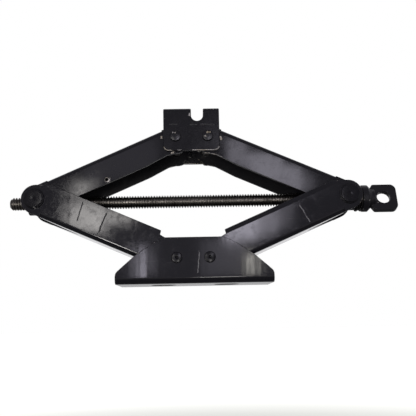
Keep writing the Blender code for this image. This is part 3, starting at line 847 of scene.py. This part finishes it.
def paint(name, colour=BLACK, rough=(0.05, 0.09), wear=0.0, worn_zone=None, bare_and_glints=(),
          marked_lines=(), wave=0.10, streak=0.0, mottle=0.3, specular=0.4, curl=None, plates=None):
    """Sprayed black paint: orange peel, sheet waviness, dust, hairlines, and steel where it
    is worn through, some patches of which paint a glint or a highlight. wear is the share of
    chips, in a zone of (axis, low, high) or all over; the patches of steel are (centre, radius);
    the lines are (start, end, width, tone): scrapes, and lines of painted shade and of painted
    highlight; curl is (point, direction, start, end) of an edge bent inwards. plates is the Y
    of the side plates on both sides, and the coat is rougher inwards of them."""
    shader = Shader(name, specular)
    smudge, dust, patches = (
        shader.noise(34, 5, 0.62), shader.noise(300, 4, 0.72), shader.noise(55, 2)
    )
    fine = shader.noise(1.0, 2, 0.5, shader.stretched((40, 300, 1100), (0.3, 0.5, 0.25)))
    hairline = shader.times(shader.remap(fine, 0.66, 0.74), shader.remap(patches, 0.48, 0.6))
    base = shader.mix(shader.remap(dust, 0.5, 0.9, 0.0, 0.1), colour, DUST)
    base = shader.mix(shader.times(hairline, 0.35), base, HAIRLINE)
    smears = shader.remap(shader.noise(120, 4, 0.7), 0.5, 0.72, 0.0, 0.14 * mottle)
    roughness = shader.plus(shader.remap(smudge, 0.32, 0.70, *rough), smears)
    roughness = shader.plus(roughness, shader.remap(dust, 0.4, 0.8, 0.0, 0.03))
    if plates is not None:
        depth = shader.math("ABSOLUTE", shader.axes()["Y"])
        coarse = shader.remap(depth, plates - 2.5 * MM, plates - 0.3 * MM, 0.24, 0.0)
        roughness = shader.plus(roughness, coarse)
    marks = None
    # The lines mark scrapes, dents and an embossed line: their tone paints the scrapes, painted
    # shade in the dents, and a painted highlight on the embossed line.
    for start, end, width, tone in marked_lines:
        line = shader.wandering_line(start, end, width)
        base = shader.mix(line, base, (tone, tone * 0.98, tone))
        roughness = shader.plus(roughness, shader.times(line, 0.45))
        marks = line if marks is None else shader.math("MAXIMUM", marks, line)
    # Worn-through paint, and at the patches listed for the saddle rivets and the saddle's lower
    # edge painted glints and a painted highlight in the colour of steel.
    metal = worn_and_glint_mask(shader, wear, worn_zone, bare_and_glints)
    if metal is not None:
        base = shader.mix(metal, base, shader.mix(shader.remap(patches, 0.45, 0.65), BARE_AND_GLINT, TAN))
        roughness = shader.plus(roughness, shader.times(metal, 0.2))
        shader.set("Metallic", shader.times(metal, 0.4))
    shader.set("Base Color", base)
    shader.set("Roughness", roughness)
    normal = shader.bump(shader.noise(17, 2, 0.4), wave, 1.2 * MM)
    if streak > 0:
        bands = shader.noise(1.0, 1, 0.5, shader.stretched((110, 110, 8)))
        normal = shader.bump(bands, streak, 1.0 * MM, normal)
    normal = shader.bump(shader.noise(450, 2), 0.03, 0.05 * MM, normal)
    if curl is not None:
        point, direction, start, end = curl
        drop = shader.remap(shader.reach(point, direction), start, end, 0.0, -1.0)
        normal = shader.bump(drop, 0.6, 1.6 * MM, normal)
    for height in (metal, marks):
        if height is not None:
            normal = shader.bump(shader.minus(1.0, height), 0.4, 0.08 * MM, normal)
    shader.set("Normal", normal)
    return shader.material


def steel(name, colour, dirt, rough, stain=0.4, grain=(400, 400, 400)):
    """Bare or plated steel: tool marks, oil film and stains."""
    shader = Shader(name, metallic=1.0)
    film = shader.noise(70, 5, 0.65)
    marks = shader.noise(1.0, 3, 0.6, shader.stretched(grain))
    shader.set("Base Color", shader.mix(shader.remap(film, 0.5 - stain * 0.3, 0.75), colour, dirt))
    roughness = shader.remap(film, 0.3, 0.75, *rough)
    shader.set("Roughness", shader.plus(roughness, shader.times(marks, 0.12)))
    normal = shader.bump(marks, 0.25, 0.05 * MM)
    shader.set("Normal", shader.bump(film, 0.2, 0.1 * MM, normal))
    return shader.material


NEAR_UPPER, NEAR_SADDLE, NEAR_HEAD = -0.033, -0.0364, -0.0390  # Y of the near faces
SMALL_HOLE = (-0.0915, NEAR_UPPER, 0.1122)
GEAR_ZONE = ("X", -0.033, 0.033)

rim = paint("sheet_cut_edge", rough=(0.3, 0.42), wear=0.25, wave=0.2)
corner = paint("sheet_worn_corner", rough=(0.2, 0.35), wear=0.35, wave=0.1)
# The base's cut edges are darker than its paint: painted shade, which keeps the insides of the
# sole slots dark.
base_rim_painted_shade = paint("base_cut_edge_painted_shade", RIM_BLACK_PAINTED_SHADE, rough=(0.35, 0.45), wave=0.1, specular=0.15)
gear_rim = paint(
    "gear_cut_edge", rough=(0.25, 0.4), wear=0.22, wave=0.2, worn_zone=GEAR_ZONE,
    bare_and_glints=((SMALL_HOLE, 3.4 * MM),),
)
gear_corner = paint(
    "gear_worn_corner", rough=(0.25, 0.4), wear=0.3, wave=0.2, worn_zone=GEAR_ZONE,
    bare_and_glints=((SMALL_HOLE, 3.4 * MM),),
)
arm_paint = paint("arm_paint", plates=UPPER_WIDTH / 2, bare_and_glints=(
    ((-0.0205, NEAR_UPPER, 0.1402), 2.0 * MM),
    ((-0.0175, NEAR_UPPER, 0.1379), 0.6 * MM),
    ((-0.0064, NEAR_UPPER, 0.1408), 1.7 * MM),
    ((0.0140, NEAR_UPPER, 0.1388), 2.4 * MM),
    ((0.0195, NEAR_UPPER, 0.1378), 1.2 * MM),
    ((-0.0325, NEAR_UPPER, 0.1590), 0.8 * MM),
    ((-0.0326, NEAR_UPPER, 0.1575), 0.9 * MM),
    ((0.0316, NEAR_UPPER, 0.1576), 1.2 * MM),
    ((0.0320, NEAR_UPPER, 0.1558), 1.2 * MM),
    ((-0.0908, NEAR_UPPER, 0.1120), 2.7 * MM),
))
# The lightened black paints light on this arm. Its two lines are dents that break the highlight;
# their dark tone is painted shade, over rougher, bumped paint.
lower_left_paint = paint("lower_left_paint", LOWER_BLACK_PAINTED_LIGHT, mottle=0.7, streak=0.04, marked_lines=(
    ((-0.1164, 0.0882), (-0.1226, 0.0679), 0.6 * MM, 0.004),
    ((-0.0915, 0.0759), (-0.1004, 0.0536), 0.9 * MM, 0.004),
))
# The lightened black paints light on this arm.
lower_right_paint = paint(
    "lower_right_paint", LOWER_BLACK_PAINTED_LIGHT, mottle=0.5,
    marked_lines=(((0.1137, 0.0821), (0.1247, 0.0625), 0.7 * MM, 0.2),),
    curl=(BASE_PIVOT["right"].xz, (-0.3987, 0.9171), 15.5 * MM, 21 * MM),
)
# The lightened black paints light on the base.
base_paint = paint(
    "base_paint", BASE_BLACK_PAINTED_LIGHT, wave=0.07, streak=0.05,
    marked_lines=(((0.0064, 0.0335), (0.0046, 0.0104), 0.6 * MM, 0.22),),
)
saddle_paint = paint(
    "saddle_paint", rough=(0.10, 0.18), wave=0.12, plates=SADDLE_WIDTH / 2,
    # The three lighter dashes along the embossed line across the saddle are a painted highlight,
    # over rougher, bumped paint.
    marked_lines=(
        ((-0.0241, 0.1717), (-0.0150, 0.1718), 0.9 * MM, 0.035),
        ((-0.0020, 0.1714), (0.0060, 0.1714), 0.7 * MM, 0.03),
        ((0.0100, 0.1712), (0.0258, 0.1710), 0.9 * MM, 0.03),
    ),
    bare_and_glints=(
        ((-0.0010, NEAR_SADDLE, 0.1822), 1.8 * MM),
        ((0.0239, NEAR_SADDLE, 0.1890), 1.0 * MM),
    ),
)
# Along the saddle's lower rounded edge the chips below 147 mm are wear and part of a painted
# highlight line; the listed patches of steel paint the rest of that highlight.
saddle_corner_wear_and_highlight = paint(
    "saddle_corner_worn_and_lit", wear=0.5, wave=0.1, worn_zone=("Z", 0, 0.147),
    bare_and_glints=[((x, -0.0362, z), radius * MM) for x, z, radius in (
        (-0.0285, 0.1455, 1.7), (-0.0258, 0.1444, 2.1), (-0.0225, 0.1437, 1.7),
        (0.0045, 0.1433, 1.6), (0.0100, 0.1433, 1.7), (0.0160, 0.1433, 1.6),
        (0.0225, 0.1436, 1.9), (0.0268, 0.1446, 1.5),
    )],
)
# The listed patches of steel on the saddle rivets' heads are painted glints.
saddle_rivet_glint_paint = paint("saddle_rivet_glint_paint", rough=(0.14, 0.25), wave=0.1, mottle=0.2, bare_and_glints=(
    ((-0.0202, NEAR_HEAD, 0.1622), 0.9 * MM),
    ((-0.0176, -0.0392, 0.1622), 0.9 * MM),
    ((0.0172, -0.0392, 0.1620), 1.3 * MM),
    ((0.0200, NEAR_HEAD, 0.1620), 0.9 * MM),
    ((0.0150, NEAR_HEAD, 0.1578), 0.9 * MM),
))
turned_paint = paint("turned_paint", rough=(0.14, 0.2), wave=0.03, mottle=0.1, specular=0.22)
forged_paint = paint("forged_paint", rough=(0.26, 0.42), wear=0.05, wave=0.3)
thread_steel = steel("thread_steel", (0.23, 0.215, 0.19), (0.045, 0.041, 0.035), (0.20, 0.40))
zinc = steel("dull_plating", (0.34, 0.33, 0.31), (0.14, 0.12, 0.10), (0.35, 0.55))
ground = steel("ground_steel", (0.055, 0.053, 0.050), (0.02, 0.018, 0.016), (0.3, 0.5))

# ------------------------------------------------------------------------------ building
base([base_paint, base_rim_painted_shade, corner])
saddle([saddle_paint, rim, saddle_corner_wear_and_highlight])
arm("lower", "left", False, [lower_left_paint, rim, corner])
arm("lower", "right", True, [lower_right_paint, rim, corner])
arm("upper", "left", False, [arm_paint, gear_rim, gear_corner])
arm("upper", "right", True, [arm_paint, gear_rim, gear_corner])
for hand in ("left", "right"):
    x, _, z = BASE_PIVOT[hand]
    rivet(f"base_rivet_{hand}", "base", x, z, BASE_WIDTH, BASE_RIVET_DIMPLE, [turned_paint])
    rivet(f"saddle_rivet_{hand}", "saddle", x, SADDLE_Z, SADDLE_WIDTH, 0, [saddle_rivet_glint_paint])
    distance_tube(f"base_tube_{hand}", "base", x, z, LOWER_WIDTH, [zinc])
    distance_tube(f"saddle_tube_{hand}", "saddle", x, SADDLE_Z, UPPER_WIDTH, [zinc])
    for place, side in (("front", -1), ("rear", 1)):
        trunnion_washer(hand, place, side, [turned_paint])
trunnion("trunnion_nut", "left", THREAD_RADIUS + GAP, [turned_paint])
trunnion("trunnion_block", "right", SHAFT_RADIUS + GAP, [turned_paint])
drive_screw([thread_steel])
for name, body in (("thrust_race_inner", "right_trunnion"), ("thrust_race_outer", "screw")):
    on_screw_ring(name, body, RACE_RADIUS, SHAFT_RADIUS + 2 * GAP, [ground])
ball_cage([ground])
collar([zinc], [ground])
drive_eye([forged_paint])


# --------------------------------------------------------------- camera, light and floor
CAMERA_AT = Vector((3.93, -775.2, -34.06)) * MM
YAW, PITCH, ROLL = radians(-0.968), radians(8.733), radians(1.108)
SENSOR, LENS = 36, 60.74
SOFTBOX_BACK = 1.4  # from the middle of the jack to the softboxes behind the camera
FLOOR_Z, FLOOR_SIZE = -0.30, 12


def camera():
    data = bpy.data.cameras.new("Camera")
    data.sensor_width, data.lens, data.clip_start = SENSOR, LENS, 0.01
    made = bpy.data.objects.new("Camera", data)
    bpy.context.scene.collection.objects.link(made)
    turn = Matrix.Rotation(YAW, 3, "Z") @ Matrix.Rotation(PITCH, 3, "X")
    right, forward, up = (turn @ Matrix.Rotation(ROLL, 3, "Y")).col
    made.matrix_world = Matrix((right, up, -forward)).transposed().to_4x4()
    made.matrix_world.translation = CAMERA_AT
    bpy.context.scene.camera = made


def softbox(name, position, target, size, radiance, colour=(1, 1, 1)):
    """An area light of the given brightness, aimed at a point and unseen by the camera."""
    data = bpy.data.lights.new(name, "AREA")
    data.shape, data.color = "RECTANGLE", colour
    data.size, data.size_y = size
    data.energy = radiance * pi * size[0] * size[1]
    made = bpy.data.objects.new(name, data)
    bpy.context.scene.collection.objects.link(made)
    made.location = position
    toward = Vector(target) - Vector(position)
    made.rotation_euler = toward.to_track_quat("-Z", "Y").to_euler()
    made.visible_camera = False


def front_softbox(name, reach, radiance, colour, back):
    """A softbox behind the camera that the near side plates mirror over part of them:
    reach is the lowest and highest X and the lowest and highest Z of that part. Boxes that
    overlap need different places along Y, given by back, or only one of them shines."""
    plate = LOWER_WIDTH / 2
    to_camera = -CAMERA_AT.y - plate
    ratio = (SOFTBOX_BACK - plate + to_camera) / to_camera
    left, right = (CAMERA_AT.x + (x - CAMERA_AT.x) * ratio for x in reach[:2])
    low, high = (CAMERA_AT.z + (z - CAMERA_AT.z) * ratio for z in reach[2:])
    middle = Vector(((left + right) / 2, -SOFTBOX_BACK - back, (low + high) / 2))
    size = (right - left, high - low)
    softbox(name, middle, middle + Vector((0, 1, 0)), size, radiance, colour)


def floor():
    """A pale floor that glows far from the object, and is dimmer in reflections than to the
    camera."""
    shader = Shader("pale_floor", 0.2)
    seen = shader.nodes.new("ShaderNodeLightPath").outputs["Is Camera Ray"]
    pale = shader.mix(shader.noise(60, 3, 0.6), (0.80, 0.83, 0.71), (0.84, 0.87, 0.745))
    shader.set("Base Color", shader.mix(seen, (0.2, 0.2, 0.2), pale))
    shader.set("Roughness", 0.9)
    away = shader.nodes.new("ShaderNodeVectorMath")
    away.operation = "LENGTH"
    shader.links.new(shader.where, away.inputs[0])
    shader.set("Emission Color", (1.0, 1.0, 1.0))
    far = shader.remap(away.outputs["Value"], 0.6, 2.0, 0.0, 1.0, True)
    glow = shader.times(far, shader.remap(seen, 0, 1, 0.4, 1))
    shader.set("Emission Strength", shader.math("MAXIMUM", glow, shader.times(seen, 0.3)))
    bm = bmesh.new()
    bmesh.ops.create_grid(bm, x_segments=2, y_segments=2, size=FLOOR_SIZE)
    made = new_object("Floor", bm)
    made.location = (0, 0, FLOOR_Z)
    made.data.materials.append(shader.material)


def world():
    """White seen behind the object; for light and reflections a room that is dim in front
    and overhead, and bright behind."""
    made = bpy.data.worlds.new("Studio")
    bpy.context.scene.world = made
    made.use_nodes = True
    nodes, links = made.node_tree.nodes, made.node_tree.links
    background = nodes["Background"]
    tint = nodes.new("ShaderNodeMix")
    tint.data_type = "RGBA"
    tint.inputs[6].default_value = (0.86, 0.82, 1, 1)
    tint.inputs[7].default_value = (1, 1, 1, 1)
    links.new(tint.outputs[2], background.inputs["Color"])
    ray = nodes.new("ShaderNodeLightPath").outputs["Is Camera Ray"]
    split = nodes.new("ShaderNodeSeparateXYZ")
    links.new(nodes.new("ShaderNodeTexCoord").outputs["Generated"], split.inputs["Vector"])
    room = nodes.new("ShaderNodeMapRange")  # brightness by direction, from front to rear
    for key, number in zip(RANGE, (0.1, 0.8, 0.29, 0.9)):
        room.inputs[key].default_value = number
    links.new(split.outputs["Y"], room.inputs["Value"])
    plain = nodes.new("ShaderNodeMath")
    plain.operation = "MAXIMUM"
    links.new(room.outputs["Result"], plain.inputs[0])
    links.new(ray, plain.inputs[1])
    links.new(plain.outputs[0], tint.inputs[0])
    seen = nodes.new("ShaderNodeMix")
    links.new(ray, seen.inputs[0])
    links.new(room.outputs["Result"], seen.inputs[2])
    seen.inputs[3].default_value = 1.0
    links.new(seen.outputs[0], background.inputs["Strength"])


camera()
world()
floor()
WARM, PLAIN, COOL = (1, 0.97, 0.90), (1, 0.968, 0.945), (0.90, 0.865, 1)
# Name, mirrored part in mm (X from, X to, Z from, Z to), radiance and colour.
for index, (name, reach, radiance, colour) in enumerate((
    ("Lower left arm", (-136, -92, 54, 85), 9.8, PLAIN),
    ("Lower left arm core", (-110, -98, 56, 72), 4, PLAIN),
    ("Lower left arm fade", (-92, -64, 64, 80), 8, PLAIN),
    ("Lower left arm edge", (-124, -100, 85, 92), 4, PLAIN),
    ("Upper left arm", (-130, -112, 95, 111), 8, PLAIN),
    ("Upper left arm fade", (-112, -100, 101, 113), 3, PLAIN),
    ("Upper left arm sheen", (-118, -36, 112, 162), 0.5, COOL),
    ("Base left", (-58, -50, 3, 38), 10.5, COOL),
    ("Base left fade", (-66, -59, 3, 30), 1.6, COOL),
    ("Base right", (58, 65, 3, 30), 14, WARM),
    ("Base right fade", (10, 50, 4, 46), 1.1, COOL),
    ("Base and lower arms sheen", (-95, 95, -5, 80), 0.13, COOL),
    ("Lower right arm", (34, 69, 44, 84), 10.2, COOL),
    ("Lower right arm fade", (69, 90, 50, 88), 4.8, COOL),
    ("Lower right arm end", (86, 108, 58, 92), 1.8, COOL),
    ("Upper right arm top", (38, 62, 124, 160), 4, COOL),
    ("Upper right arm", (62, 100, 100, 142), 5.6, COOL),
    ("Upper right arm fade", (100, 120, 96, 128), 5.5, COOL),
    ("Upper right arm end", (120, 134, 96, 118), 1.8, COOL),
    ("Bend line left", (-160, -116, -110, -40), 34, PLAIN),
    ("Bend line right", (4, 56, -110, -50), 10, PLAIN),
)):
    front_softbox(name, [edge * MM for edge in reach], radiance, colour, index * MM)
softbox("Rear left", (-1.0, 1.3, 0.6), (0, 0, 0.08), (0.5, 0.9), 1.1)
softbox("Rear right", (1.1, 1.2, 0.5), (0, 0, 0.08), (0.4, 0.8), 1.1)
bpy.context.scene.view_settings.view_transform = "Standard"
